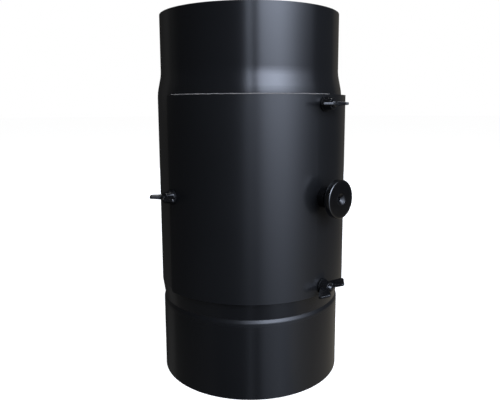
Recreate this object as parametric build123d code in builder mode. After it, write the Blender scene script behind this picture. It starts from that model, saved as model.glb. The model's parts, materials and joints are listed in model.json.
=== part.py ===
"""Stove pipe particulate filter: a pipe length with a service door and a turning honeycomb filter.

The origin is on the pipe's axis at the rim of the lower socket. +Z is up the flue and the knob faces -Y.
Angles around the pipe are counted from the knob towards +X. All sizes are in millimetres.
"""

import os
from math import cos, degrees, radians, sin, sqrt

from build123d import *

os.makedirs("parts", exist_ok=True)

# Pipe: formed steel tube for 150 mm stove pipe
sheet = 1.5
overall_height = 300.0
socket_bore_r = 75.0
socket_depth = 62.0
groove_depth = 1.1
groove_width = 2.5
taper_height = 14.5
barrel_r = 77.5
spigot_r = 74.5
spigot_length = 48.0
flare_height = 15.0
shoulder_bend = 2.0
flare_bend = 40.0
spigot_bend = 30.0

# Service window and its door
window_half_angle = 77.0
window_height = 114.0
window_corner_r = 8.0
door_height = 156.0
door_half_angle = 95.5
door_sheet = 1.5
door_corner_r = 2.0
gasket_thickness = 2.0
gasket_half_angle = 94.5
gasket_proud = 1.0
gasket_margin = 1.0

# Door fixings: studs, washers and wing nuts
stud_r = 2.5
stud_inset = 7.0
side_stud_angle = 92.5
stud_tip = 2.0
stud_chamfer = 0.6
stud_hole_gap = 0.3
washer_r = 6.0
washer_thickness = 1.2
nut_hub_r = 5.5
nut_hub_height = 6.5
nut_hub_taper = 12.0
nut_span = 26.0
nut_height = 13.0
wing_thickness = 2.5
wing_root_r = 2.6
wing_root_reach = 4.4
wing_root_lift = 3.6
wing_tip_r = 3.8
wing_edge = 0.5
bottom_nut_turn = 15.0

# Filter cassette
ring_play = 4.0
ring_sheet = 1.2
ring_height = 28.0
ring_lip = 5.0
bead_depth = 1.0
bead_height = 4.0
mat_thickness = 1.8
honeycomb_height = 20.0
cell_size = 9.4
cell_wall = 1.8
snap_wire = 2.2
wire_sides = 8
snap_gap_angle = 14.0

# Shaft, saddles, stop and knob
shaft_r = 4.0
saddle_sheet = 1.5
saddle_width = 34.0
saddle_margin = 0.6
rivet_r = 1.5
rivet_spacing = 24.0
rivet_head_r = 2.6
rivet_head_height = 1.1
rivet_head_taper = 35.0
stop_pin_r = 1.25
stop_pin_length = 14.0
bush_body_r = 6.8
bush_shoulder_r = 8.0
bush_stem = 5.0
bush_chamfer = 0.6
socket_stem = 5.0
socket_floor = 1.5
pivot_tip_gap = 0.6
spring_sheet = 0.5
spring_height = 1.2
spring_r = 6.6
knob_r = 14.9
knob_disc = 4.6
knob_stem_r = 5.5
knob_stem = 5.5
knob_edge = 1.0
shaft_flat = 7.2
shaft_end_web = 1.6
screw_r = 3.0
screw_head_r = 5.0
screw_head_height = 4.0
screw_sink = 0.15
screw_length = 10.0
dish_r = 4.4
dish_depth = 2.5
hex_key = 2.5
hex_depth = 3.2
hex_turn = 30.0

# Clearances
running_gap = 0.05
seat_gap = 0.03
turn_gap = 0.4
stop_gap = 0.12

# Levels and radii that follow from the sizes above
socket_outer_r = socket_bore_r + sheet
groove_r = socket_outer_r - groove_depth
groove_z = socket_depth + groove_width
barrel_low_z = groove_z + taper_height
spigot_low_z = overall_height - spigot_length
barrel_high_z = spigot_low_z - flare_height
barrel_inner_r = barrel_r - sheet
filter_ring_r = barrel_inner_r - ring_play
pivot_z = (barrel_low_z + barrel_high_z) / 2 - gasket_proud
gasket_in_r = barrel_r + seat_gap
gasket_out_r = barrel_r + gasket_thickness
door_in_r = gasket_out_r + seat_gap
door_out_r = door_in_r + door_sheet
door_low_z = pivot_z - door_height / 2
door_high_z = pivot_z + door_height / 2
washer_seat_r = door_out_r + seat_gap
nut_seat_r = washer_seat_r + washer_thickness + seat_gap
stud_end_r = nut_seat_r + nut_hub_height + stud_tip

# Places of the four fixings: angle from the knob and height
fixings = {
    "top": (0.0, door_high_z - stud_inset),
    "bottom": (0.0, door_low_z + stud_inset),
    "left": (-side_stud_angle, pivot_z),
    "right": (side_stud_angle, pivot_z),
}

# Where the wings of each tightened nut have come to rest, counted from level
nut_turns = {"top": 0.0, "bottom": bottom_nut_turn, "left": 0.0, "right": 0.0}


def radial_plane(angle, height):
    """Plane across a radius: local x runs round the pipe, y is up and z points out of the pipe."""
    turn = radians(angle)
    return Plane(origin=(0, 0, height), x_dir=(cos(turn), sin(turn), 0), z_dir=(sin(turn), -cos(turn), 0))


def upright_plane(angle):
    """Plane through the pipe's axis: local x points out of the pipe at the angle and y is up."""
    turn = radians(angle)
    return Plane(origin=(0, 0, 0), x_dir=(sin(turn), -cos(turn), 0), z_dir=(-cos(turn), -sin(turn), 0))


front = radial_plane(0.0, pivot_z)
back = radial_plane(180.0, pivot_z)
shaft_axis = Axis((0, 0, pivot_z), (0, -1, 0))
turned_plane = Plane(origin=(0, 0, pivot_z), x_dir=(0, 0, 1), z_dir=(1, 0, 0))

# Radii along the shaft, counted from the pipe's axis
saddle_in_r = filter_ring_r + seat_gap
saddle_out_r = saddle_in_r + saddle_sheet
lug_low_r = saddle_out_r + rivet_head_height + turn_gap
pin_r = lug_low_r + stop_gap + stop_pin_r
notch_high_r = pin_r + stop_pin_r + stop_gap
bush_high_r = door_out_r + bush_stem
spring_low_r = bush_high_r + seat_gap
knob_low_r = spring_low_r + spring_height + seat_gap
disc_low_r = knob_low_r + knob_stem
knob_face_r = disc_low_r + knob_disc
screw_top_r = knob_face_r - screw_sink
screw_neck_r = screw_top_r - screw_head_height
shaft_end_r = screw_neck_r - shaft_end_web
socket_high_r = barrel_r + socket_stem
pivot_end_r = socket_high_r - socket_floor - pivot_tip_gap

# Pipe body: one tube with a socket below, a stop groove, a taper to the barrel, and a spigot on top
with BuildPart() as pipe_body:
    with BuildSketch(Plane.XZ):
        with BuildLine():
            outside = FilletPolyline(
                (socket_outer_r, 0),
                (socket_outer_r, socket_depth),
                (groove_r, groove_z),
                (barrel_r, barrel_low_z),
                (barrel_r, barrel_high_z),
                (spigot_r, spigot_low_z),
                (spigot_r, overall_height),
                radius=[shoulder_bend, 0, 0, flare_bend, spigot_bend],
            )
            offset(outside, amount=sheet, side=Side.LEFT, kind=Kind.INTERSECTION)
        make_face()
    revolve(axis=Axis.Z)
    # Window behind the door
    with BuildSketch(upright_plane(-window_half_angle)):
        with Locations((barrel_r, pivot_z)):
            Rectangle(4 * sheet, window_height)
    revolve(axis=Axis.Z, revolution_arc=2 * window_half_angle, mode=Mode.SUBTRACT)
    window_corners = pipe_body.edges().filter_by(GeomType.LINE).filter_by(Plane.XY).group_by(SortBy.LENGTH)[0]
    fillet(window_corners, window_corner_r)
    # Hole for the rear socket
    with BuildSketch(back.offset(barrel_inner_r - sheet)):
        Circle(bush_body_r + running_gap)
    extrude(amount=4 * sheet, mode=Mode.SUBTRACT)

# Weld studs: four threaded studs on the barrel
with BuildPart() as weld_studs:
    for angle, height in fixings.values():
        with BuildSketch(radial_plane(angle, height).offset(barrel_inner_r)):
            Circle(stud_r)
        extrude(amount=stud_end_r - barrel_inner_r)
        tip = radial_plane(angle, height).offset(stud_end_r)
        chamfer(weld_studs.edges().filter_by(GeomType.CIRCLE).sort_by_distance(tip.origin)[0], stud_chamfer)
    Cylinder(barrel_r + seat_gap, 3 * overall_height, mode=Mode.SUBTRACT)

# Stud openings in gasket and door: round holes at top and bottom, slots open to the edge at the sides
hole_r = stud_r + stud_hole_gap
slot_reach = radians(door_half_angle - side_stud_angle) * door_out_r + 2 * hole_r
with BuildPart() as stud_openings:
    for place, side in (("top", 0), ("bottom", 0), ("left", -1), ("right", 1)):
        with BuildSketch(radial_plane(*fixings[place]).offset(barrel_inner_r)):
            Circle(hole_r)
            if side:
                with Locations((side * slot_reach / 2, 0)):
                    Rectangle(slot_reach, 2 * hole_r)
        extrude(amount=2 * (door_out_r - barrel_inner_r))

# Door gasket: fibre frame round the window, with its top edge proud of the door
with BuildPart() as door_gasket:
    gasket_low_z = door_low_z + gasket_margin
    gasket_high_z = door_high_z + gasket_proud
    with BuildSketch(upright_plane(-gasket_half_angle)):
        with Locations(((gasket_in_r + gasket_out_r) / 2, (gasket_low_z + gasket_high_z) / 2)):
            Rectangle(gasket_out_r - gasket_in_r, gasket_high_z - gasket_low_z)
    revolve(axis=Axis.Z, revolution_arc=2 * gasket_half_angle)
    with BuildSketch(upright_plane(-window_half_angle)):
        with Locations((gasket_in_r, pivot_z)):
            Rectangle(4 * gasket_thickness, window_height)
    revolve(axis=Axis.Z, revolution_arc=2 * window_half_angle, mode=Mode.SUBTRACT)
    add(stud_openings.part, mode=Mode.SUBTRACT)

# Door: half-round cover with openings for the studs and the bush
with BuildPart() as door_shell:
    with BuildSketch(upright_plane(-door_half_angle)):
        with Locations(((door_in_r + door_out_r) / 2, pivot_z)):
            Rectangle(door_sheet, door_height)
    revolve(axis=Axis.Z, revolution_arc=2 * door_half_angle)
    door_corners = door_shell.edges().filter_by(GeomType.LINE).group_by(SortBy.LENGTH)[0]
    fillet(door_corners, door_corner_r)
    add(stud_openings.part, mode=Mode.SUBTRACT)
    with BuildSketch(front.offset(barrel_inner_r)):
        Circle(bush_body_r + running_gap)
    extrude(amount=2 * (door_out_r - barrel_inner_r), mode=Mode.SUBTRACT)

# Door bush: turned bearing whose shoulder is cut to sit on the door, with two stop lugs inside
with BuildPart() as door_bush:
    with BuildSketch(front.offset(door_in_r)):
        Circle(bush_shoulder_r)
    extrude(amount=bush_high_r - door_in_r)
    Cylinder(door_out_r + seat_gap, 3 * overall_height, mode=Mode.SUBTRACT)
    with BuildSketch(front.offset(notch_high_r)):
        Circle(bush_body_r)
    extrude(amount=bush_high_r - notch_high_r)
    chamfer(door_bush.edges().filter_by(GeomType.CIRCLE).group_by(Axis.Y)[0], bush_chamfer)
    lug_edge = stop_pin_r + stop_gap
    with BuildSketch(front.offset(lug_low_r)):
        for side in (-1, 1):
            with Locations((side * (lug_edge + bush_body_r / 2), side * (lug_edge + bush_body_r / 2))):
                Rectangle(bush_body_r, bush_body_r)
        Circle(bush_body_r, mode=Mode.INTERSECT)
    extrude(amount=notch_high_r - lug_low_r)
    with BuildSketch(front.offset(lug_low_r)):
        Circle(shaft_r + running_gap)
    extrude(amount=bush_high_r - lug_low_r, mode=Mode.SUBTRACT)

# Rear socket: blind bearing through the barrel's back, with a shoulder cut to sit on the barrel
with BuildPart() as rear_socket:
    with BuildSketch(back.offset(barrel_inner_r)):
        Circle(bush_shoulder_r)
    extrude(amount=socket_high_r - barrel_inner_r)
    Cylinder(barrel_r + seat_gap, 3 * overall_height, mode=Mode.SUBTRACT)
    with BuildSketch(back.offset(barrel_inner_r)):
        Circle(bush_body_r)
    extrude(amount=socket_high_r - barrel_inner_r)
    chamfer(rear_socket.edges().filter_by(GeomType.CIRCLE).group_by(Axis.Y)[-1], bush_chamfer)
    with BuildSketch(back.offset(saddle_out_r)):
        Circle(shaft_r + running_gap)
    extrude(amount=socket_high_r - socket_floor - saddle_out_r, mode=Mode.SUBTRACT)

# Filter ring: rolled band with a lip under the honeycomb and a bead for the snap ring
ring_low_z = pivot_z - ring_height / 2
ring_high_z = pivot_z + ring_height / 2
ring_inner_r = filter_ring_r - ring_sheet
honeycomb_low_z = ring_low_z + ring_sheet + seat_gap
honeycomb_high_z = honeycomb_low_z + honeycomb_height
snap_z = honeycomb_high_z + seat_gap + snap_wire / 2
rivet_angle = degrees(rivet_spacing / 2 / saddle_out_r)
rivet_angles = [around + side * rivet_angle for around in (0.0, 180.0) for side in (-1, 1)]
with BuildPart() as filter_ring:
    with BuildSketch(Plane.XZ):
        with BuildLine():
            band = Polyline(
                (ring_inner_r - ring_lip, ring_low_z),
                (filter_ring_r, ring_low_z),
                (filter_ring_r, snap_z - bead_height / 2),
                (filter_ring_r + bead_depth, snap_z - bead_height / 4),
                (filter_ring_r + bead_depth, snap_z + bead_height / 4),
                (filter_ring_r, snap_z + bead_height / 2),
                (filter_ring_r, ring_high_z),
            )
            offset(band, amount=ring_sheet, side=Side.LEFT, kind=Kind.INTERSECTION)
        make_face()
    revolve(axis=Axis.Z)
    for around in rivet_angles:
        with BuildSketch(radial_plane(around, pivot_z)):
            Circle(rivet_r + seat_gap)
        extrude(amount=2 * filter_ring_r, mode=Mode.SUBTRACT)

# Fibre mat: packing between honeycomb and ring
mat_out_r = ring_inner_r - seat_gap
mat_in_r = mat_out_r - mat_thickness
with BuildPart() as fibre_mat:
    with BuildSketch(Plane.XY.offset(honeycomb_low_z)):
        Circle(mat_out_r)
        Circle(mat_in_r, mode=Mode.SUBTRACT)
    extrude(amount=honeycomb_height)

# Honeycomb: ceramic block with square cells right through
honeycomb_r = mat_in_r - seat_gap
with BuildPart() as filter_honeycomb:
    cell_pitch = cell_size + cell_wall
    cells_across = 2 * int(honeycomb_r / cell_pitch) + 1
    furthest_cell = honeycomb_r - cell_wall - cell_size / sqrt(2)
    with BuildSketch(Plane.XY.offset(honeycomb_low_z)):
        Circle(honeycomb_r)
        grid = GridLocations(cell_pitch, cell_pitch, cells_across, cells_across).local_locations
        with Locations([spot for spot in grid if spot.position.length < furthest_cell]):
            Rectangle(cell_size, cell_size, mode=Mode.SUBTRACT)
    extrude(amount=honeycomb_height)

# Snap ring: split wire ring on the honeycomb's edge, sprung into the bead
with BuildPart() as snap_ring:
    with BuildSketch(upright_plane(snap_gap_angle / 2)):
        with Locations((ring_inner_r - snap_wire / 2 + bead_depth / 2, snap_z)):
            RegularPolygon(snap_wire / 2, wire_sides, major_radius=False, rotation=180 / wire_sides)
    revolve(axis=Axis.Z, revolution_arc=360 - snap_gap_angle)

# Saddles: curved plates riveted to the ring, front and back
saddle_half_angle = degrees(saddle_width / 2 / saddle_out_r)
saddle_height = 2 * (snap_z - bead_height / 2 - saddle_margin - pivot_z)


def make_saddle(around):
    """One saddle plate with its two rivet holes."""
    with BuildPart() as saddle:
        with BuildSketch(upright_plane(around - saddle_half_angle)):
            with Locations(((saddle_in_r + saddle_out_r) / 2, pivot_z)):
                Rectangle(saddle_sheet, saddle_height)
        revolve(axis=Axis.Z, revolution_arc=2 * saddle_half_angle)
        for side in (-1, 1):
            with BuildSketch(radial_plane(around + side * rivet_angle, pivot_z)):
                Circle(rivet_r + seat_gap)
            extrude(amount=2 * filter_ring_r, mode=Mode.SUBTRACT)
    return saddle


front_saddle = make_saddle(0.0)
rear_saddle = make_saddle(180.0)

# Saddle rivets: four domed rivets, flush inside the ring
with BuildPart() as saddle_rivets:
    for around in rivet_angles:
        rivet = radial_plane(around, pivot_z)
        with BuildSketch(rivet.offset(ring_inner_r - ring_sheet)):
            Circle(rivet_r)
        extrude(amount=saddle_out_r + seat_gap - ring_inner_r + ring_sheet)
        with BuildSketch(rivet.offset(saddle_out_r + seat_gap)):
            Circle(rivet_head_r)
        extrude(amount=rivet_head_height - seat_gap, taper=rivet_head_taper)
    Cylinder(ring_inner_r, 3 * overall_height, mode=Mode.SUBTRACT)

# Filter shaft: round bar welded to the front saddle, cross-drilled, with flats and a tapped end
with BuildPart() as filter_shaft:
    with BuildSketch(front.offset(filter_ring_r)):
        Circle(shaft_r)
    extrude(amount=shaft_end_r - filter_ring_r)
    with BuildSketch(front.offset(knob_low_r)):
        Rectangle(3 * shaft_r, 3 * shaft_r)
        Rectangle(3 * shaft_r, shaft_flat, mode=Mode.SUBTRACT)
    extrude(amount=shaft_end_r - knob_low_r, mode=Mode.SUBTRACT)
    Cylinder(saddle_out_r + seat_gap, 3 * overall_height, mode=Mode.SUBTRACT)
    with BuildSketch(front.offset(screw_neck_r - screw_length)):
        Circle(screw_r + seat_gap)
    extrude(amount=screw_length, mode=Mode.SUBTRACT)
    with BuildSketch(Plane.YZ):
        with Locations((-pin_r, pivot_z)):
            Circle(stop_pin_r + seat_gap)
    extrude(amount=2 * shaft_r, both=True, mode=Mode.SUBTRACT)

# Stop pin: spring pin through the shaft, which swings a quarter between the lugs of the bush
with BuildPart() as stop_pin:
    with BuildSketch(Plane.YZ):
        with Locations((-pin_r, pivot_z)):
            Circle(stop_pin_r)
    extrude(amount=stop_pin_length / 2, both=True)

# Rear pivot: short trunnion on the rear saddle
with BuildPart() as rear_pivot:
    with BuildSketch(back.offset(filter_ring_r)):
        Circle(shaft_r)
    extrude(amount=pivot_end_r - filter_ring_r)
    chamfer(rear_pivot.edges().filter_by(GeomType.CIRCLE).group_by(Axis.Y)[-1], stud_chamfer)
    Cylinder(saddle_out_r + seat_gap, 3 * overall_height, mode=Mode.SUBTRACT)

# Friction spring: dished washer between bush and knob
with BuildPart() as friction_spring:
    spring_in_r = shaft_r + stop_gap
    with BuildSketch(turned_plane):
        with BuildLine():
            Polyline(
                (spring_in_r, spring_low_r),
                (spring_in_r, spring_low_r + spring_sheet),
                (spring_r, spring_low_r + spring_height),
                (spring_r, spring_low_r + spring_height - spring_sheet),
                close=True,
            )
        make_face()
    revolve(axis=shaft_axis)

# Knob: turned disc on a stem, with a flatted bore and a counterbore in its face for the screw's head
with BuildPart() as knob:
    with BuildSketch(front.offset(disc_low_r)):
        Circle(knob_r)
    extrude(amount=knob_disc)
    chamfer(knob.edges().filter_by(GeomType.CIRCLE), knob_edge)
    with BuildSketch(front.offset(knob_low_r)):
        Circle(knob_stem_r)
    extrude(amount=knob_stem + knob_disc / 2)
    with BuildSketch(front.offset(knob_low_r)):
        Circle(shaft_r + running_gap)
        Rectangle(3 * shaft_r, shaft_flat + 2 * running_gap, mode=Mode.INTERSECT)
    extrude(amount=shaft_end_r + seat_gap - knob_low_r, mode=Mode.SUBTRACT)
    with BuildSketch(turned_plane):
        with BuildLine():
            Polyline(
                (0, shaft_end_r),
                (screw_r + seat_gap, shaft_end_r),
                (screw_r + seat_gap, screw_neck_r),
                (screw_head_r + seat_gap, screw_neck_r),
                (screw_head_r + seat_gap, knob_face_r + screw_sink),
                (0, knob_face_r + screw_sink),
                close=True,
            )
        make_face()
    revolve(axis=shaft_axis, mode=Mode.SUBTRACT)

# Knob screw: low-head screw, dished towards a hexagon socket that comes to rest with a corner down
with BuildPart() as knob_screw:
    with BuildSketch(turned_plane):
        with BuildLine():
            Polyline(
                (0, screw_neck_r - screw_length + pivot_tip_gap),
                (screw_r, screw_neck_r - screw_length + pivot_tip_gap),
                (screw_r, screw_neck_r + seat_gap),
                (screw_head_r, screw_neck_r + seat_gap),
                (screw_head_r, screw_top_r),
                (dish_r, screw_top_r),
                (0, screw_top_r - dish_depth),
                close=True,
            )
        make_face()
    revolve(axis=shaft_axis)
    with BuildSketch(front.offset(screw_top_r - hex_depth)):
        RegularPolygon(hex_key / 2, 6, major_radius=False, rotation=hex_turn)
    extrude(amount=hex_depth, mode=Mode.SUBTRACT)

for name, piece in (
    ("pipe_body", pipe_body),
    ("weld_studs", weld_studs),
    ("door_gasket", door_gasket),
    ("door_shell", door_shell),
    ("door_bush", door_bush),
    ("rear_socket", rear_socket),
    ("filter_ring", filter_ring),
    ("fibre_mat", fibre_mat),
    ("filter_honeycomb", filter_honeycomb),
    ("snap_ring", snap_ring),
    ("front_saddle", front_saddle),
    ("rear_saddle", rear_saddle),
    ("saddle_rivets", saddle_rivets),
    ("filter_shaft", filter_shaft),
    ("stop_pin", stop_pin),
    ("rear_pivot", rear_pivot),
    ("friction_spring", friction_spring),
    ("knob", knob),
    ("knob_screw", knob_screw),
):
    piece.part.label = name
    export_step(piece.part, f"parts/{name}.step")

# Washers and wing nuts, one pair for each fixing
for place, (angle, height) in fixings.items():
    with BuildPart() as washer:
        with BuildSketch(radial_plane(angle, height).offset(washer_seat_r)):
            Circle(washer_r)
            Circle(stud_r + running_gap, mode=Mode.SUBTRACT)
        extrude(amount=washer_thickness)
    washer.part.label = f"washer_{place}"
    export_step(washer.part, f"parts/washer_{place}.step")

    level_seat = radial_plane(angle, height).offset(nut_seat_r)
    nut_seat = Plane(level_seat.location * Rot(0, 0, nut_turns[place]))
    wing_plane = Plane(origin=nut_seat.origin, x_dir=nut_seat.x_dir, z_dir=-nut_seat.y_dir)
    with BuildPart() as wing_nut:
        for side in (-1, 1):
            with BuildSketch(wing_plane):
                with Locations((side * wing_root_reach, wing_root_lift)):
                    Circle(wing_root_r)
                with Locations((side * (nut_span / 2 - wing_tip_r), nut_height - wing_tip_r)):
                    Circle(wing_tip_r)
                make_hull()
            extrude(amount=wing_thickness / 2, both=True)
        levels = wing_nut.edges().group_by(Axis(wing_plane.origin, wing_plane.z_dir))
        chamfer(levels[0] + levels[-1], wing_edge)
        with BuildSketch(nut_seat):
            Circle(nut_hub_r)
        extrude(amount=nut_hub_height, taper=nut_hub_taper)
        with BuildSketch(nut_seat):
            Circle(stud_r + running_gap)
        extrude(amount=nut_height, mode=Mode.SUBTRACT)
    wing_nut.part.label = f"wing_nut_{place}"
    export_step(wing_nut.part, f"parts/wing_nut_{place}.step")
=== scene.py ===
import json
from math import atan2, cos, hypot, pi, radians, sin, sqrt, tan

import bmesh
import bpy
from mathutils import Matrix, Vector


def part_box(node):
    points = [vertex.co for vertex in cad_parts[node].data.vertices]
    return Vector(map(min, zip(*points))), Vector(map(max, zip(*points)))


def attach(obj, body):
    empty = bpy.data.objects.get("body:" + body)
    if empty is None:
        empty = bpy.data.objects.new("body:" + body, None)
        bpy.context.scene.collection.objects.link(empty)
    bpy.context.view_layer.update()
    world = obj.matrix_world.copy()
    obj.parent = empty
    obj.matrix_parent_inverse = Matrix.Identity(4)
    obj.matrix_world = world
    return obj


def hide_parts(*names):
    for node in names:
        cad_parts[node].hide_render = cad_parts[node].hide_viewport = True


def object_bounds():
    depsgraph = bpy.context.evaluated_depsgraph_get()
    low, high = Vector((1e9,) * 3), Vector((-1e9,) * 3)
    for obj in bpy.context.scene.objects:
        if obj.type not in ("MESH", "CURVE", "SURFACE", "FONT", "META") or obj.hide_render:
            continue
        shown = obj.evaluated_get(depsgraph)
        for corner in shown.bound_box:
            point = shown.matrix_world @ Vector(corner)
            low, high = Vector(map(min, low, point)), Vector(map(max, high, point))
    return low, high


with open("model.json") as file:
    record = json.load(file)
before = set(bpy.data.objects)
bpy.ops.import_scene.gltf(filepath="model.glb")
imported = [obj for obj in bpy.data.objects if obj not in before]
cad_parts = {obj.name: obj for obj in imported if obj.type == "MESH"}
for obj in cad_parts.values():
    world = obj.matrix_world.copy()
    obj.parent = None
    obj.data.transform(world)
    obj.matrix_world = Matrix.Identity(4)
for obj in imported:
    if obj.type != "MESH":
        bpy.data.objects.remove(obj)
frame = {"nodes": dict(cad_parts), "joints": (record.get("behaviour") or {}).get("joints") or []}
cad_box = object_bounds()
nodes = frame["nodes"]
joints = {joint["name"]: joint for joint in frame["joints"]}
bpy.ops.object.select_all(action="DESELECT")


# Pipe body: one formed steel tube, spun out to a socket below and drawn in to a spigot above, with a stop
# groove rolled in over the socket. It is sprayed all over with satin heat-resistant black paint, which
# dries to a fine orange peel and lies thinner and drier in the groove.
class Signal:
    """A value on its way through a material's nodes; plain arithmetic on it adds Math nodes."""

    def __init__(self, tree, socket):
        self.tree = tree
        self.socket = socket

    def node(self, kind, settings, inputs, output=0):
        """Adds a node, sets its settings, then its inputs, and gives one of its outputs."""
        made = self.tree.nodes.new("ShaderNode" + kind)
        for name, value in settings.items():
            if name == "stops":
                ramp = made.color_ramp.elements
                ramp[0].position, ramp[0].color = value[0]
                ramp[1].position, ramp[1].color = value[-1]
                for position, colour in value[1:-1]:
                    ramp.new(position).color = colour
            else:
                setattr(made, name, value)
        for name, value in inputs.items():
            if isinstance(value, Signal):
                self.tree.links.new(value.socket, made.inputs[name])
            else:
                made.inputs[name].default_value = value
        return Signal(self.tree, made.outputs[output])

    def math(self, operation, first, second=0.0):
        return self.node("Math", {"operation": operation}, {0: first, 1: second})

    def __add__(self, other):
        return self.math("ADD", self, other)

    __radd__ = __add__

    def __sub__(self, other):
        return self.math("SUBTRACT", self, other)

    def __rsub__(self, other):
        return self.math("SUBTRACT", other, self)

    def __mul__(self, other):
        return self.math("MULTIPLY", self, other)

    __rmul__ = __mul__

    def noise(self, size, detail):
        """Noise from 0 to 1 over this position, with features of about the size in metres."""
        return self.node("TexNoise", {}, {"Vector": self, "Scale": 1 / size, "Detail": detail})

    def stretched(self, x, y, z):
        """This position with each axis multiplied, so that a pattern on it runs long or short."""
        return self.node("VectorMath", {"operation": "MULTIPLY"}, {0: self, 1: (x, y, z)})

    def part(self, axis):
        """One coordinate of this position: 0 for x, 1 for y and 2 for z."""
        return self.node("SeparateXYZ", {}, {"Vector": self}, axis)

    def between(self, low, high):
        """The colour between two colours at this share."""
        return self.node("Mix", {"data_type": "RGBA"}, {0: self, 6: (*low, 1), 7: (*high, 1)}, 2)

    def ramp(self, *stops):
        """This share run through a ramp of greys, given as (position, value)."""
        greys = [(position, (value, value, value, 1)) for position, value in stops]
        return self.node("ValToRGB", {"stops": greys}, {"Fac": self})

    def relief(self, depth):
        """A surface normal raised by this height, from 0 to 1, times the depth in metres."""
        return self.node("Bump", {}, {"Height": self, "Distance": depth})

    def into(self, socket):
        self.tree.links.new(self.socket, socket)


def new_finish(name):
    """A new material, the inputs of its shader, and the place on the piece to paint by."""
    finish = bpy.data.materials.new(name)
    finish.use_nodes = True
    tree = finish.node_tree
    place = tree.nodes.new("ShaderNodeTexCoord").outputs["Object"]
    return finish, tree.nodes["Principled BSDF"].inputs, Signal(tree, place)


def dress(finish, *names):
    """Gives solids of the frame their finish."""
    for name in names:
        nodes[name].data.materials.clear()
        nodes[name].data.materials.append(finish)


groove_low = 0.0585
groove_high = 0.0665


def stove_paint(name, dullness):
    """Satin black paint, clouded and peeled as sprayed, more or less dull, drier in the groove."""
    finish, shader, place = new_finish(name)
    cloud = place.noise(0.08, 2)
    peel = place.noise(0.0009, 3)
    cloud.between((0.0060, 0.0062, 0.0066), (0.0082, 0.0085, 0.0091)).into(shader["Base Color"])
    up_groove = (place.part(2) - groove_low) * (1 / (groove_high - groove_low))
    in_groove = up_groove.ramp((0.0, 0.0), (0.25, 1.0), (0.75, 1.0), (1.0, 0.0))
    (dullness + cloud * 0.02 + peel * 0.04 + in_groove * 0.10).into(shader["Roughness"])
    peel.relief(0.000008).into(shader["Normal"])
    return finish


pipe_paint = stove_paint("pipe_paint", 0.19)
dress(pipe_paint, "pipe_body")

# Rear socket: a turned blind bearing let into the back of the barrel.
# It is welded round its shoulder before the pipe is painted, so bead and socket are black too.
barrel_r = 0.0775
socket_shoulder_r = 0.008
bead_r = 0.0011
bead_ripples = 30
bead_ripple = 0.00018
pivot_height = joints["filter_turn"]["pos_m"][2]
bpy.ops.mesh.primitive_torus_add(
    major_radius=socket_shoulder_r, minor_radius=bead_r, major_segments=180, minor_segments=12
)
socket_weld = bpy.context.object
socket_weld.name = "socket_weld"
for vertex in socket_weld.data.vertices:
    around = atan2(vertex.co.y, vertex.co.x)
    swell = 1 + bead_ripple / bead_r * sin(bead_ripples * around)
    reach = hypot(vertex.co.x, vertex.co.y) - socket_shoulder_r
    x = (socket_shoulder_r + reach * swell) * cos(around)
    z = (socket_shoulder_r + reach * swell) * sin(around)
    wall = sqrt(barrel_r**2 - x**2)
    vertex.co = (x, wall + vertex.co.z * swell, z + pivot_height)
bpy.ops.object.mode_set(mode="EDIT")
bpy.ops.mesh.select_all(action="SELECT")
bpy.ops.mesh.normals_make_consistent(inside=False)
bpy.ops.object.mode_set(mode="OBJECT")
bpy.ops.object.shade_smooth()
socket_weld.data.materials.append(pipe_paint)
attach(socket_weld, "pipe")
dress(pipe_paint, "rear_socket")

# Weld studs: four M5 studs welded to the barrel, for the nuts that hold the door.
# Each is rolled steel with a full thread and a bevelled end, and is coated black.
stud_r = 0.0025
stud_pitch = 0.0008
stud_thread = 0.00042
stud_bevel = 0.0006
stud_foot = 0.07753
stud_end = 0.09079
stud_rows = 96
places = ("top", "bottom", "left", "right")


def seat_of(place):
    """Matrix from a nut's own frame, with z out of the pipe and y up, to its seat on the door."""
    joint = joints["nut_turn_" + place]
    out = Vector(joint["axis"])
    up = Vector((0, 0, 1))
    turn = Matrix((up.cross(out), up, out)).transposed().to_4x4()
    return Matrix.Translation(joint["pos_m"]) @ turn


def take_up(piece):
    """Makes this the one piece that operators act on."""
    bpy.ops.object.select_all(action="DESELECT")
    piece.select_set(True)
    bpy.context.view_layer.objects.active = piece


def pick_edges(piece, wanted):
    """Selects, in edit mode, the edges whose two ends pass the test."""
    bpy.ops.mesh.select_mode(type="EDGE")
    bpy.ops.mesh.select_all(action="DESELECT")
    mesh = bmesh.from_edit_mesh(piece.data)
    for edge in mesh.edges:
        edge.select_set(wanted(edge.verts[0].co, edge.verts[1].co))
    bmesh.update_edit_mesh(piece.data)


def pick_faces(piece, wanted):
    """Selects, in edit mode, the faces whose centre and normal pass the test."""
    bpy.ops.mesh.select_mode(type="FACE")
    bpy.ops.mesh.select_all(action="DESELECT")
    mesh = bmesh.from_edit_mesh(piece.data)
    for face in mesh.faces:
        face.select_set(wanted(face.calc_center_median(), face.normal))
    bmesh.update_edit_mesh(piece.data)


def worked(piece, kind, **settings):
    """Adds a modifier with its settings and applies it."""
    take_up(piece)
    modifier = piece.modifiers.new(kind.lower(), kind)
    for name, value in settings.items():
        setattr(modifier, name, value)
    bpy.ops.object.modifier_apply(modifier=modifier.name)


def joined(name, *pieces):
    """Several meshes made one piece."""
    take_up(pieces[0])
    for piece in pieces:
        piece.select_set(True)
    bpy.ops.object.join()
    bpy.context.object.name = name
    return bpy.context.object


def copied(piece, name, matrix):
    """A copy of a piece with its own mesh, set in its place."""
    copy = bpy.data.objects.new(name, piece.data.copy())
    bpy.context.collection.objects.link(copy)
    copy.data.transform(matrix)
    return copy


def removed(piece):
    """Takes a pattern piece or a cutter out of the scene."""
    bpy.data.objects.remove(piece)


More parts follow.
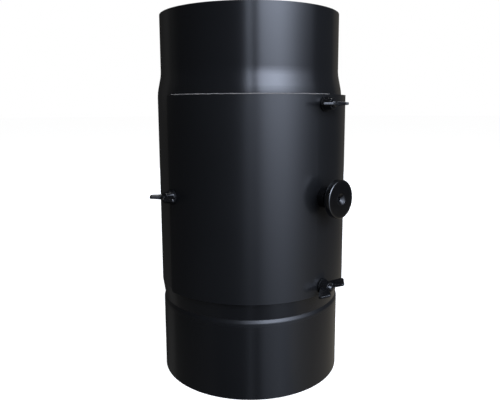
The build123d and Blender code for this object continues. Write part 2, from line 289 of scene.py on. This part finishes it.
black_coat, shader, place = new_finish("black_coat")
cast = place.noise(0.0016, 3)
fine = place.noise(0.0003, 2)
cast.between((0.003, 0.003, 0.0033), (0.006, 0.006, 0.0065)).into(shader["Base Color"])
(0.16 + cast * 0.10 + fine * 0.05).into(shader["Roughness"])
shader["Specular IOR Level"].default_value = 0.8
(cast * 0.8 + fine * 0.2).relief(0.00003).into(shader["Normal"])

stud_length = stud_end - stud_foot
bpy.ops.mesh.primitive_cylinder_add(vertices=32, radius=stud_r, depth=stud_length)
stud = bpy.context.object
bpy.ops.object.mode_set(mode="EDIT")
pick_edges(stud, lambda a, b: abs(a.z - b.z) > stud_length / 2)
bpy.ops.mesh.subdivide(number_cuts=stud_rows)
bpy.ops.object.mode_set(mode="OBJECT")
for vertex in stud.data.vertices:
    turn = atan2(vertex.co.y, vertex.co.x) / (2 * pi)
    crest = abs(2 * ((vertex.co.z / stud_pitch - turn) % 1) - 1)
    below_end = stud_length / 2 - vertex.co.z
    widest = stud_r - max(0, stud_bevel - below_end)
    radius = min(widest, stud_r - stud_thread * crest)
    vertex.co.xy = Vector(vertex.co.xy).normalized() * radius
stud.data.transform(Matrix.Translation((0, 0, stud_length / 2)))
seat_r = Vector(joints["nut_turn_top"]["pos_m"]).xy.length
studs = []
for fixing in places:
    foot = seat_of(fixing) @ Matrix.Translation((0, 0, stud_foot - seat_r))
    studs.append(copied(stud, "stud_" + fixing, foot))
removed(stud)
threaded_studs = joined("threaded_studs", *studs)
bpy.ops.object.shade_smooth_by_angle(angle=radians(50))
threaded_studs.data.materials.append(black_coat)
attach(threaded_studs, "pipe")
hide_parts("weld_studs")

# Filter ring and saddles: a rolled band of heat-resistant steel, with a curved plate riveted on where each
# end of the shaft meets it. Bare metal, dulled and tinted straw and blue by the heat.
ring_steel, shader, place = new_finish("ring_steel")
tint = place.noise(0.035, 3)
rolled = place.stretched(1, 1, 14).noise(0.004, 3)
tint.between((0.36, 0.30, 0.22), (0.26, 0.27, 0.31)).into(shader["Base Color"])
shader["Metallic"].default_value = 1.0
(0.34 + rolled * 0.16).into(shader["Roughness"])
rolled.relief(0.00004).into(shader["Normal"])
dress(ring_steel, "filter_ring", "front_saddle", "rear_saddle")

# Shaft, pivot, stop pin and rivets: turned from steel bar, with fine tool marks round them.
# They stay bare, because they run in bearings inside the flue.
turned_steel, shader, place = new_finish("turned_steel")
marks = place.stretched(1, 30, 1).noise(0.006, 2)
smoke = place.noise(0.012, 3)
smoke.between((0.20, 0.19, 0.18), (0.34, 0.33, 0.31)).into(shader["Base Color"])
shader["Metallic"].default_value = 1.0
(0.28 + marks * 0.16).into(shader["Roughness"])
marks.relief(0.00002).into(shader["Normal"])
dress(turned_steel, "filter_shaft", "rear_pivot", "stop_pin", "saddle_rivets")

# Fibre mat: a strip of mineral fibre packed between honeycomb and ring, to hold the ceramic without strain.
# It is soft, so its edges bulge past the ceramic and look torn.
mat_out_r = 0.07077
mat_wall = 0.0018
mat_low, mat_high = (corner.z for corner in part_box("fibre_mat"))
mat_middle = (mat_low + mat_high) / 2
mat_tear = 0.0007
coarse_tufts = 23
fine_tufts = 57
edge_near = 0.0001


def fibrous(name, low, high):
    """Loose mineral fibre between two colours: dull, matted, with short strands lying all ways."""
    finish, shader, place = new_finish(name)
    strands = place.stretched(1, 1, 3).noise(0.0006, 4)
    tufts = place.noise(0.004, 3)
    (strands * 0.6 + tufts * 0.4).between(low, high).into(shader["Base Color"])
    shader["Roughness"].default_value = 0.95
    shader["Specular IOR Level"].default_value = 0.2
    strands.relief(0.0004).into(shader["Normal"])
    return finish


def roughen(piece, size, depth):
    """Moves the surface in and out by a cloud of this size, as torn or pressed fibre."""
    cloud = bpy.data.textures.new(piece.name + "_cloud", "CLOUDS")
    cloud.noise_scale = size
    cloud.noise_depth = 2
    worked(piece, "DISPLACE", texture=cloud, texture_coords="GLOBAL", strength=depth, mid_level=0.5)


bpy.ops.mesh.primitive_cylinder_add(
    vertices=256, radius=mat_out_r, depth=mat_high - mat_low, end_fill_type="NOTHING",
    location=(0, 0, mat_middle),
)
mat_packing = bpy.context.object
mat_packing.name = "mat_packing"
bpy.ops.object.transform_apply(location=True)
bpy.ops.object.mode_set(mode="EDIT")
pick_edges(mat_packing, lambda a, b: abs(a.z - b.z) > mat_wall)
bpy.ops.mesh.subdivide(number_cuts=14)
bpy.ops.object.mode_set(mode="OBJECT")
worked(mat_packing, "SOLIDIFY", thickness=mat_wall, offset=-1)
for vertex in mat_packing.data.vertices:
    if min(vertex.co.z - mat_low, mat_high - vertex.co.z) < edge_near:
        around = atan2(vertex.co.y, vertex.co.x)
        torn = mat_tear * (0.5 + 0.3 * sin(coarse_tufts * around) + 0.2 * sin(fine_tufts * around + 1))
        vertex.co.z -= torn if vertex.co.z > mat_middle else -torn
roughen(mat_packing, 0.002, 0.0004)
bpy.ops.object.shade_smooth()
mat_packing.data.materials.append(fibrous("packing_fibre", (0.34, 0.32, 0.28), (0.62, 0.59, 0.53)))
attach(mat_packing, "filter")
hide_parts("fibre_mat")

# Honeycomb: an extruded ceramic block with thin walls between square cells, open from face to face.
# The soot is caught here, so the unglazed cream body has greyed unevenly.
comb_low, comb_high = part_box("filter_honeycomb")
comb_r = comb_high.x
cell_pitch = 0.0056
cell_wall = 0.0009
cells_across = 2 * int(comb_r / cell_pitch) + 1
cell_reach = comb_r - cell_wall - (cell_pitch - cell_wall) / sqrt(2)
comb_depth = comb_high.z - comb_low.z
comb_middle = (comb_high.z + comb_low.z) / 2

bpy.ops.mesh.primitive_grid_add(
    x_subdivisions=cells_across, y_subdivisions=cells_across, size=cells_across * cell_pitch,
    location=(0, 0, comb_middle - comb_depth),
)
cells = bpy.context.object
bpy.ops.object.transform_apply(location=True)
bpy.ops.object.mode_set(mode="EDIT")
pick_faces(cells, lambda centre, normal: centre.xy.length > cell_reach)
bpy.ops.mesh.delete(type="FACE")
bpy.ops.mesh.select_all(action="SELECT")
bpy.ops.mesh.inset(thickness=cell_wall / 2, use_individual=True)
bpy.ops.mesh.select_all(action="INVERT")
bpy.ops.mesh.delete(type="FACE")
bpy.ops.object.mode_set(mode="OBJECT")
worked(cells, "SOLIDIFY", thickness=2 * comb_depth, offset=1)
bpy.ops.mesh.primitive_cylinder_add(
    vertices=192, radius=comb_r, depth=comb_depth, location=(0, 0, comb_middle)
)
ceramic_cells = bpy.context.object
ceramic_cells.name = "ceramic_cells"
bpy.ops.object.transform_apply(location=True)
worked(ceramic_cells, "BOOLEAN", operation="DIFFERENCE", object=cells, solver="EXACT")
removed(cells)
take_up(ceramic_cells)
bpy.ops.object.shade_smooth_by_angle(angle=radians(30))
ceramic, shader, place = new_finish("cream_ceramic")
soot = place.noise(0.03, 4)
pores = place.noise(0.0009, 3)
sooty = soot.ramp((0.35, 0.0), (0.75, 1.0))
sooty.between((0.47, 0.40, 0.30), (0.27, 0.24, 0.20)).into(shader["Base Color"])
shader["Roughness"].default_value = 0.9
pores.relief(0.0002).into(shader["Normal"])
ceramic_cells.data.materials.append(ceramic)
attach(ceramic_cells, "filter")
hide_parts("filter_honeycomb")

# Snap ring: a length of round spring wire, bent to a split ring and sprung into the bead of the filter ring.
# It lies on the edge of the honeycomb and keeps it in.
wire_low, wire_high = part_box("snap_ring")
wire_r = (wire_high.z - wire_low.z) / 2
wire_gap = radians(14)
bpy.ops.mesh.primitive_torus_add(
    major_radius=wire_high.x - wire_r, minor_radius=wire_r, major_segments=180, minor_segments=14,
    location=(0, 0, (wire_low.z + wire_high.z) / 2),
)
split_ring = bpy.context.object
split_ring.name = "split_ring"
bpy.ops.object.transform_apply(location=True)
bpy.ops.object.mode_set(mode="EDIT")
pick_faces(split_ring, lambda centre, normal: abs(atan2(centre.x, -centre.y)) < wire_gap / 2)
bpy.ops.mesh.delete(type="FACE")
bpy.ops.mesh.select_all(action="DESELECT")
bpy.ops.mesh.select_mode(type="EDGE")
bpy.ops.mesh.select_non_manifold()
bpy.ops.mesh.edge_face_add()
bpy.ops.object.mode_set(mode="OBJECT")
bpy.ops.object.shade_smooth_by_angle(angle=radians(50))
spring_steel, shader, place = new_finish("spring_steel")
scale = place.noise(0.006, 3)
scale.between((0.17, 0.165, 0.17), (0.30, 0.28, 0.26)).into(shader["Base Color"])
shader["Metallic"].default_value = 1.0
(0.30 + scale * 0.2).into(shader["Roughness"])
split_ring.data.materials.append(spring_steel)
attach(split_ring, "filter")
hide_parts("snap_ring")

# Door gasket: a frame cut from pressed mineral fibre, between door and barrel.
# Its raw grey edge stands a little above the door on the left, and slips behind it past the top nut.
gasket_bottom, gasket_top = (corner.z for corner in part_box("door_gasket"))
gasket_middle_r = 0.0785
gasket_thickness = 0.0018
gasket_half_angle = radians(94.5)
gasket_bevel = 0.0008
gasket_press = 0.0003
window_half_angle = radians(77)
window_half_height = 0.057
slot_angle = radians(90.5)
slot_half_height = 0.003
slip_angle = radians(4.5)
slip_run = radians(4.0)
slip_depth = 0.0016
slip_fade = 4


def cut_out(centre, normal):
    """Whether a bit of the flat gasket lies in the window or in a slot for a side stud."""
    aside = abs(centre.x)
    off_pivot = abs(centre.z - pivot_height)
    in_window = aside < window_half_angle and off_pivot < window_half_height
    in_slot = aside > slot_angle and off_pivot < slot_half_height
    return in_window or in_slot


bpy.ops.mesh.primitive_grid_add(x_subdivisions=378, y_subdivisions=156, size=2)
pressed_gasket = bpy.context.object
pressed_gasket.name = "pressed_gasket"
for vertex in pressed_gasket.data.vertices:
    share = (vertex.co.y + 1) / 2
    height = gasket_bottom + share * (gasket_top - gasket_press - gasket_bottom)
    vertex.co = (vertex.co.x * gasket_half_angle, 0, height)
bpy.ops.object.mode_set(mode="EDIT")
pick_faces(pressed_gasket, cut_out)
bpy.ops.mesh.delete(type="FACE")
bpy.ops.object.mode_set(mode="OBJECT")
for vertex in pressed_gasket.data.vertices:
    around = vertex.co.x
    slip = min(1, max(0, (around - slip_angle) / slip_run))
    low_share = (gasket_top - vertex.co.z) / gasket_bevel
    drop = slip_depth * slip * max(0, 1 - low_share / slip_fade)
    vertex.co = (gasket_middle_r * sin(around), -gasket_middle_r * cos(around), vertex.co.z - drop)
worked(pressed_gasket, "SOLIDIFY", thickness=gasket_thickness, offset=0)
for vertex in pressed_gasket.data.vertices:
    outside = vertex.co.xy.length > gasket_middle_r
    if outside and vertex.co.z > gasket_top - gasket_bevel / 2:
        vertex.co.z -= gasket_bevel
roughen(pressed_gasket, 0.0012, 0.0002)
bpy.ops.object.mode_set(mode="EDIT")
bpy.ops.mesh.select_all(action="SELECT")
bpy.ops.mesh.normals_make_consistent(inside=False)
bpy.ops.object.mode_set(mode="OBJECT")
bpy.ops.object.shade_smooth_by_angle(angle=radians(40))
pressed_gasket.data.materials.append(fibrous("gasket_fibre", (0.125, 0.116, 0.106), (0.24, 0.224, 0.206)))
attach(pressed_gasket, "pipe")
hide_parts("door_gasket")

# Door: a half-round cover of painted sheet, sprayed by itself and a little duller than the pipe.
# Its bush is turned, pushed in from outside and blackened, with a dished spring under the knob.
door_paint = stove_paint("door_paint", 0.26)
dress(door_paint, "door_shell")
matt_black, shader, place = new_finish("matt_black")
oxide = place.noise(0.003, 3)
oxide.between((0.002, 0.002, 0.0022), (0.004, 0.004, 0.0043)).into(shader["Base Color"])
(0.55 + oxide * 0.1).into(shader["Roughness"])
shader["Specular IOR Level"].default_value = 0.2
dress(matt_black, "door_bush", "friction_spring")

# Knob: a disc turned with its stem from one bar, with eased edges and the marks of the tool on its face.
# It is blackened, and bored for the head of a low socket screw that holds it on the shaft. Fingers have
# polished its rim.
knob_low, knob_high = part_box("knob")
knob_face = -knob_low.y
knob_back = -knob_high.y
knob_r = knob_high.x
knob_disc = 0.0046
knob_stem_r = 0.0055
knob_ease = 0.0009
bore_r = 0.00503
bore_depth = 0.00415
bore_ease = 0.0002
level = 0.99
tool_mark_pitch = 0.0004
face_share = 0.86
rim_share = 0.92
to_front = Matrix.Translation((0, 0, pivot_height)) @ Matrix.Rotation(radians(90), 4, "X")
disc_middle = knob_face - knob_disc / 2
bpy.ops.mesh.primitive_cylinder_add(
    vertices=128, radius=knob_r, depth=knob_disc, location=(0, 0, disc_middle)
)
turned_knob = bpy.context.object
turned_knob.name = "turned_knob"
bpy.ops.object.transform_apply(location=True)
bpy.ops.object.mode_set(mode="EDIT")
pick_edges(turned_knob, lambda a, b: abs(a.z - b.z) < knob_ease)
bpy.ops.mesh.bevel(offset=knob_ease, segments=5)
pick_faces(turned_knob, lambda centre, normal: normal.z < -level)
bpy.ops.mesh.inset(thickness=knob_r - knob_ease - knob_stem_r)
bpy.ops.mesh.extrude_region_move(
    TRANSFORM_OT_translate={"value": (0, 0, knob_back - (knob_face - knob_disc))}
)
pick_faces(turned_knob, lambda centre, normal: normal.z > level and centre.z > disc_middle)
bpy.ops.mesh.inset(thickness=knob_r - knob_ease - bore_r - bore_ease)
bpy.ops.mesh.inset(thickness=bore_ease, depth=-bore_ease)
bpy.ops.mesh.extrude_region_move(TRANSFORM_OT_translate={"value": (0, 0, bore_ease - bore_depth)})
bpy.ops.object.mode_set(mode="OBJECT")
turned_knob.data.transform(to_front)
bpy.ops.object.shade_smooth_by_angle(angle=radians(30))
knob_black, shader, place = new_finish("knob_black")
flat_place = place.stretched(1, 0, 1)
shaft_axis = (0, 0, pivot_height)
from_shaft = flat_place.node("VectorMath", {"operation": "DISTANCE"}, {0: flat_place, 1: shaft_axis}, 1)
tool_marks = from_shaft.math("SINE", from_shaft * (2 * pi / tool_mark_pitch))
on_face = (from_shaft * (1 / knob_r)).ramp((face_share, 1.0), (rim_share, 0.0))
cloud = place.noise(0.006, 2)
cloud.between((0.0022, 0.0022, 0.0024), (0.0042, 0.0042, 0.0045)).into(shader["Base Color"])
(0.11 + cloud * 0.04).into(shader["Roughness"])
(0.5 + tool_marks * on_face * 0.5).relief(0.000004).into(shader["Normal"])
(1 - on_face).into(shader["Coat Weight"])
shader["Coat Roughness"].default_value = 0.1
shader["Coat IOR"].default_value = 1.65
turned_knob.data.materials.append(knob_black)
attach(turned_knob, "filter")
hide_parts("knob")

# Knob screw: a low-head steel screw, flush in the bore of the knob. Its head is dished towards a small
# hexagon socket, and is blackened like the knob.
head_r = 0.005
head_height = 0.00397
shank_r = 0.003
shank_length = 0.00943
dish_r = 0.0044
dish_depth = 0.0025
dish_share = 0.8
hex_key = 0.0025
hex_depth = 0.0032
screw_sink = 0.00015
screw_ease = 0.00012
head_top = knob_face - screw_sink
bpy.ops.mesh.primitive_cylinder_add(
    vertices=96, radius=head_r, depth=head_height, location=(0, 0, head_top - head_height / 2)
)
socket_screw = bpy.context.object
socket_screw.name = "socket_screw"
bpy.ops.object.transform_apply(location=True)
bpy.ops.object.mode_set(mode="EDIT")
pick_faces(socket_screw, lambda centre, normal: normal.z < -level)
bpy.ops.mesh.inset(thickness=head_r - shank_r)
bpy.ops.mesh.extrude_region_move(TRANSFORM_OT_translate={"value": (0, 0, -shank_length)})
pick_faces(socket_screw, lambda centre, normal: normal.z > level and centre.z > head_top - screw_ease)
bpy.ops.mesh.inset(thickness=head_r - dish_r)
bpy.ops.mesh.inset(thickness=dish_share * dish_r, depth=-dish_share * dish_depth)
bpy.ops.object.mode_set(mode="OBJECT")
bpy.ops.mesh.primitive_cylinder_add(
    vertices=6, radius=hex_key / 2 / cos(pi / 6), depth=2 * hex_depth, location=(0, 0, head_top)
)
broach = bpy.context.object
worked(socket_screw, "BOOLEAN", operation="DIFFERENCE", object=broach, solver="EXACT")
removed(broach)
worked(socket_screw, "BEVEL", width=screw_ease, segments=2, limit_method="ANGLE", angle_limit=radians(40))
socket_screw.data.transform(to_front)
bpy.ops.object.shade_smooth_by_angle(angle=radians(25))
screw_black, shader, place = new_finish("screw_black")
oxide = place.noise(0.002, 3)
oxide.between((0.0025, 0.0025, 0.0027), (0.0045, 0.0045, 0.0048)).into(shader["Base Color"])
(0.16 + oxide * 0.06).into(shader["Roughness"])
socket_screw.data.materials.append(screw_black)
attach(socket_screw, "filter")
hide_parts("knob_screw")

# Washers: plain stamped washers under the nuts, with one edge rolled over by the punch.
# They are blackened like the bush.
washer_r = 0.006
washer_hole_r = 0.00255
washer_thickness = 0.0012
washer_seat = 0.08106
washer_ease = 0.00025
bpy.ops.mesh.primitive_cylinder_add(vertices=96, radius=washer_r, depth=washer_thickness)
washer = bpy.context.object
bpy.ops.mesh.primitive_cylinder_add(vertices=48, radius=washer_hole_r, depth=2 * washer_thickness)
drill = bpy.context.object
worked(washer, "BOOLEAN", operation="DIFFERENCE", object=drill, solver="EXACT")
removed(drill)
worked(washer, "BEVEL", width=washer_ease, segments=3, limit_method="ANGLE", angle_limit=radians(40))
bpy.ops.object.shade_smooth_by_angle(angle=radians(40))
washer.data.materials.append(matt_black)
for fixing in places:
    seat = seat_of(fixing) @ Matrix.Translation((0, 0, washer_seat + washer_thickness / 2 - seat_r))
    stamped = copied(washer, "stamped_washer_" + fixing, seat)
    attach(stamped, "washer_" + fixing)
    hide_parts("washer_" + fixing)
removed(washer)

# Wing nuts: cast with a tapered hub and two rounded wings, then tapped and coated black.
# Casting leaves soft edges, full fillets at the hub and blunt wings that thin out towards their ends.
hub_low_r = 0.0055
hub_high_r = 0.00412
hub_height = 0.0065
root_thickness = 0.0036
tip_thickness = 0.0019
root_r = 0.0026
root_reach = 0.0044
root_lift = 0.0036
corner_r = 0.0019
low_corner_reach = 0.0135
low_corner_lift = 0.0077
high_corner_reach = 0.0088
high_corner_lift = 0.0115
casting_grain = 0.00025
rest_turns = {"top": 0, "bottom": radians(15), "left": 0, "right": 0}
bpy.ops.mesh.primitive_cone_add(
    vertices=64, radius1=hub_low_r, radius2=hub_high_r, depth=hub_height, location=(0, 0, hub_height / 2)
)
parts = [bpy.context.object]
for side in (-1, 1):
    lobes = []
    for lobe_r, thickness, reach, lift in (
        (root_r, root_thickness, root_reach, root_lift),
        (corner_r, tip_thickness, low_corner_reach, low_corner_lift),
        (corner_r, tip_thickness, high_corner_reach, high_corner_lift),
    ):
        bpy.ops.mesh.primitive_cylinder_add(
            vertices=48, radius=lobe_r, depth=thickness, location=(side * reach, 0, lift),
            rotation=(radians(90), 0, 0),
        )
        lobes.append(bpy.context.object)
    wing = joined("wing", *lobes)
    bpy.ops.object.mode_set(mode="EDIT")
    bpy.ops.mesh.select_all(action="SELECT")
    bpy.ops.mesh.convex_hull()
    bpy.ops.object.mode_set(mode="OBJECT")
    parts.append(wing)
nut = joined("nut", *parts)
bpy.ops.object.transform_apply(location=True, rotation=True)
worked(nut, "REMESH", mode="VOXEL", voxel_size=casting_grain)
worked(nut, "SMOOTH", factor=0.5, iterations=3)
bpy.ops.mesh.primitive_cylinder_add(vertices=48, radius=washer_hole_r, depth=4 * hub_height)
tap = bpy.context.object
worked(nut, "BOOLEAN", operation="DIFFERENCE", object=tap, solver="EXACT")
removed(tap)
take_up(nut)
bpy.ops.object.shade_smooth_by_angle(angle=radians(50))
nut.data.materials.append(black_coat)
for fixing in places:
    tightened = Matrix.Rotation(rest_turns[fixing], 4, "Z")
    cast_nut = copied(nut, "cast_wing_nut_" + fixing, seat_of(fixing) @ tightened)
    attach(cast_nut, "wing_nut_" + fixing)
    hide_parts("wing_nut_" + fixing)
removed(nut)

# Studio: a plain pale floor under the pipe, bright enough by itself to come out nearly white.
# It is kept out of the paint's reflections, so that the black stays deep.
floor_r = 12.0
bpy.ops.mesh.primitive_circle_add(vertices=96, radius=floor_r, fill_type="NGON")
floor = bpy.context.object
floor.name = "floor"
pale, shader, place = new_finish("pale_floor")
place.noise(0.4, 2).between((0.5, 0.5, 0.5), (0.52, 0.52, 0.52)).into(shader["Base Color"])
shader["Roughness"].default_value = 1.0
shader["Specular IOR Level"].default_value = 0.0
shader["Emission Color"].default_value = (1, 1, 1, 1)
shader["Emission Strength"].default_value = 0.97
floor.data.materials.append(pale)
floor.visible_glossy = False
floor.visible_diffuse = False
floor.visible_shadow = False

# Light: a tall window of two panes to the right of the camera, a dim warm wall and room further right, a
# pale wall and a window behind for the edges, and a faint wall, ceiling and floor on the left, where one
# corner of the room stays dark. A lamp above the flue shows the honeycomb to a view from above.
camera_azimuth = -44.5
aim = Vector((0, 0, 0.16))
flue_lamp_height = 1.6
flue_lamp_beam = 0.07
flue_lamp_power = 60
flue_lamp_blend = 0.3
flue_lamp_r = 0.05
room_grey = 0.038
dark_corner_azimuth = -145
even = ((0, 1), (1, 1))


def softbox(name, azimuth, elevation, spread, rise, radiance, colour, up=even, across=even):
    """An area light with fades up and across it, by its angles from the object.

    Azimuth counts from the camera to its right.
    """
    distance = 1.5
    width = 2 * distance * tan(radians(spread / 2))
    height = 2 * distance * tan(radians(rise / 2))
    bpy.ops.object.light_add(type="AREA")
    lamp = bpy.context.object
    lamp.name = name
    lamp.visible_camera = False
    lamp.data.shape = "RECTANGLE"
    lamp.data.size = width
    lamp.data.size_y = height
    lamp.data.color = colour
    lamp.data.energy = radiance * width * height * pi
    turn = Matrix.Rotation(radians(camera_azimuth + azimuth), 4, "Z")
    tilt = Matrix.Rotation(radians(90 - elevation), 4, "X")
    lamp.matrix_world = Matrix.Translation(aim) @ turn @ tilt @ Matrix.Translation((0, 0, distance))
    lamp.data.use_nodes = True
    tree = lamp.data.node_tree
    emission = next(node for node in tree.nodes if node.type == "EMISSION")
    spot = Signal(tree, tree.nodes.new("ShaderNodeNewGeometry").outputs["Parametric"])
    (spot.part(1).ramp(*up) * spot.part(0).ramp(*across)).into(emission.inputs["Strength"])


daylight = (0.72, 0.805, 1.0)
warm = (1.0, 0.90, 0.74)
white = (1.0, 1.0, 1.0)
window_up = (
    (0.0, 0.045), (0.21, 0.055), (0.32, 0.103), (0.37, 0.129), (0.41, 0.17), (0.456, 0.24), (0.5, 0.29),
    (0.544, 0.365), (0.6, 0.51), (0.66, 0.77), (0.72, 1.0), (0.78, 1.0), (0.85, 0.7), (0.92, 0.35),
    (1.0, 0.2),
)
window_across = ((0.0, 0.72), (0.2, 0.9), (0.36, 1.04), (0.5, 0.74), (0.64, 0.36), (0.78, 0.16), (1.0, 0.03))
softbox("window_wide", 48, 5, 73, 90, 13.4, daylight, window_up, window_across)
softbox("window_narrow", 0, 5, 6, 90, 8, daylight, window_up)
softbox("warm_wall", 105, -27, 95, 36, 0.2, warm, ((0.0, 1.0), (0.45, 1.0), (0.75, 0.4), (1.0, 0.03)))
softbox("warm_room", 152, 12, 46, 50, 0.085, warm)
softbox("back_wall", 180, 12, 30, 20, 1.4, white)
wall_across = ((0.0, 0.02), (0.25, 0.18), (0.5, 0.38), (0.75, 0.7), (0.9, 1.0), (1.0, 1.0))
softbox("left_wall", -138, 0, 44, 90, 0.07, white, across=wall_across)
ceiling_across = ((0.0, 0.3), (0.5, 0.8), (0.8, 1.0), (1.0, 0.2))
softbox("left_ceiling", -116, 22, 34, 40, 0.04, white, across=ceiling_across)
softbox("left_floor", -92, -39, 80, 27, 0.045, white, ((0.0, 1.0), (1.0, 0.5)))
softbox("rear_window", 180, -6, 14, 76, 18, daylight, ((0.0, 0.2), (0.3, 1.0), (0.6, 1.0), (1.0, 0.3)))
bpy.ops.object.light_add(type="SPOT", location=(0, 0, flue_lamp_height))
flue_lamp = bpy.context.object
flue_lamp.name = "flue_lamp"
flue_lamp.data.energy = flue_lamp_power
flue_lamp.data.spot_size = 2 * atan2(flue_lamp_beam, flue_lamp_height - cad_box[1].z)
flue_lamp.data.spot_blend = flue_lamp_blend
flue_lamp.data.shadow_soft_size = flue_lamp_r

world = bpy.data.worlds.new("studio")
world.use_nodes = True
bpy.context.scene.world = world
tree = world.node_tree
backdrop = tree.nodes["Background"].inputs
to_camera = Signal(tree, tree.nodes.new("ShaderNodeLightPath").outputs["Is Camera Ray"])
to_camera.between((room_grey, room_grey, room_grey), white).into(backdrop["Color"])
dark_corner = radians(camera_azimuth + dark_corner_azimuth)
bearing = Signal(tree, tree.nodes.new("ShaderNodeTexCoord").outputs["Generated"]).stretched(1, 1, 0)
bearing = bearing.node("VectorMath", {"operation": "NORMALIZE"}, {0: bearing})
facing = {0: bearing, 1: (sin(dark_corner), -cos(dark_corner), 0)}
gloom = bearing.node("VectorMath", {"operation": "DOT_PRODUCT"}, facing, 1).ramp((0.85, 1.0), (0.91, 0.45))
(to_camera + (1 - to_camera) * gloom).into(backdrop["Strength"])

# Camera: stands left of the knob, a little above the middle of the door, as in the photograph.
# Its angles are in degrees, and its focal length and the row of its axis in pixels of the picture.
camera_distance = 0.45545
camera_height = 0.22653
camera_aside = 0.00013
camera_pitch = 8.476
camera_roll = -0.253
focal_pixels = 524.2
picture_width = 500
picture_height = 400
axis_row = 184.07
sensor_width = 36.0
turn = Matrix.Rotation(radians(camera_azimuth), 4, "Z")
stand = turn @ Vector((camera_aside, -camera_distance, camera_height))
tilt = Matrix.Rotation(radians(90 - camera_pitch), 4, "X")
roll = Matrix.Rotation(radians(camera_roll), 4, "Z")
bpy.ops.object.camera_add(location=stand, rotation=(turn @ tilt @ roll).to_euler())
camera = bpy.context.object
camera.data.sensor_width = sensor_width
camera.data.lens = focal_pixels / picture_width * sensor_width
camera.data.shift_y = (axis_row - picture_height / 2) / picture_width
camera.data.clip_start = 0.01
camera.data.clip_end = 100
bpy.context.scene.camera = camera
bpy.context.scene.view_settings.view_transform = "Standard"
